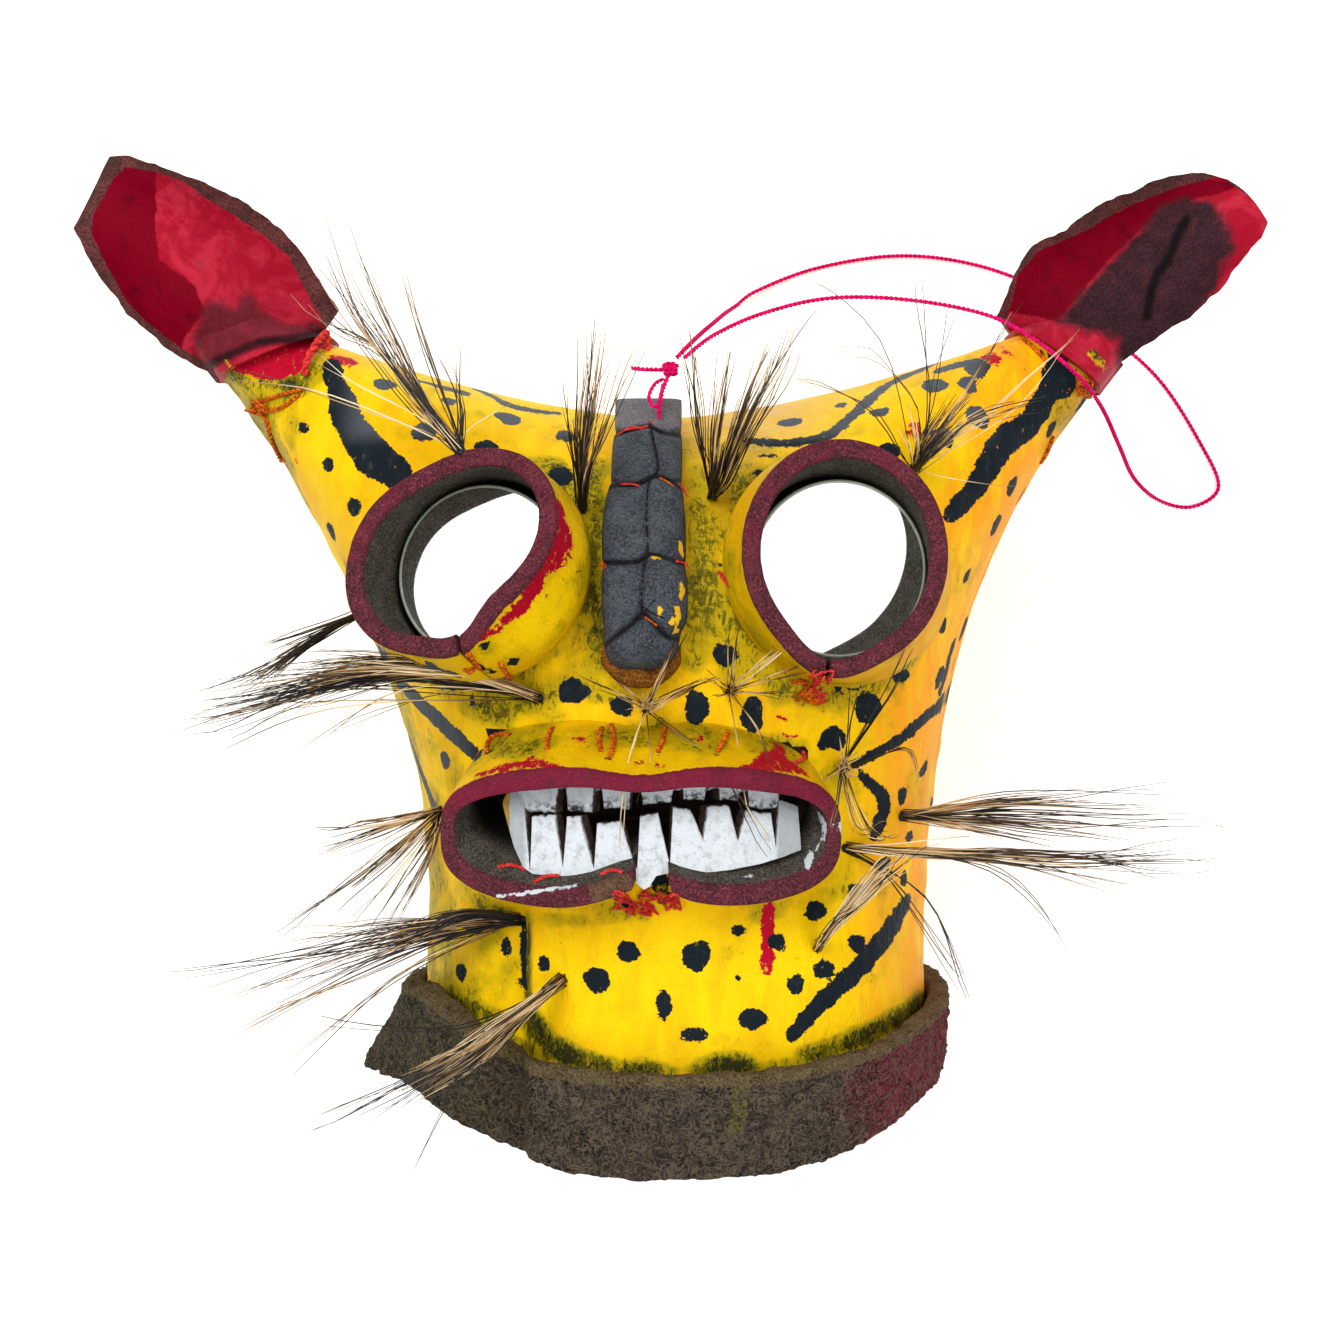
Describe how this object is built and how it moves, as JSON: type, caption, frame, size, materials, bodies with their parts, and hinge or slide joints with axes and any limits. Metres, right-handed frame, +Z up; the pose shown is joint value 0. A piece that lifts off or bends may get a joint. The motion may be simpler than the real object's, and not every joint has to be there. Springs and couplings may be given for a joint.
{
  "type": "leather feline mask",
  "caption": "Helmet mask of a folded, sewn hide with mirror eyes in leather tubes, a toothed mouth tube, cupped ears, bristle tufts, a collar and a hanging cord.",
  "frame": {"origin": "on the surface that the mask lies on, under the middle of its box measured without the hanging cord", "axes": "+X to the viewer's right across the ears, +Y from the collar to the crown, +Z up out of the face"},
  "size_m": [0.4416, 0.358, 0.2482],
  "materials": {
    "painted_hide": "thick cow hide painted glossy yellow with black spots and stripes",
    "maroon_suede": "hide strip with a maroon painted edge and brown suede inside",
    "mirror": "round mirror glass, bright",
    "black_suede": "black painted suede strip, rough",
    "tan_leather": "bare tan leather, rough",
    "painted_teeth": "leather strip painted white with grey stains",
    "red_leather": "hide painted glossy red with dark edges",
    "collar_leather": "thick rough brown-black suede",
    "bristle": "stiff boar bristles, pale in the middle and dark at root and tip",
    "cord": "twisted two-ply pink cotton cord"
  },
  "bodies": {
    "root": {"helmet_shell": "painted_hide", "left_eye_tube": "maroon_suede", "left_mirror": "mirror", "right_eye_tube": "maroon_suede", "right_mirror": "mirror", "mouth_lip": "maroon_suede", "lower_teeth": "painted_teeth", "upper_teeth": "painted_teeth", "nose_strip": "black_suede", "nose_flange": "tan_leather", "left_ear": "red_leather", "right_ear": "red_leather", "collar": "collar_leather", "left_brow_tuft": "bristle", "nose_left_tuft": "bristle", "nose_right_tuft": "bristle", "right_brow_tuft": "bristle", "left_cheek_tuft": "bristle", "left_eye_side_tuft": "bristle", "muzzle_middle_tuft": "bristle", "muzzle_right_tuft": "bristle", "right_cheek_upper_tuft": "bristle", "right_cheek_tuft": "bristle", "right_side_tuft": "bristle", "right_chin_tuft": "bristle", "left_mouth_tuft": "bristle", "left_jaw_tuft": "bristle", "chin_tuft": "bristle", "cord_knot": "cord", "hanging_cord": "cord"}
  },
  "joints": []
}
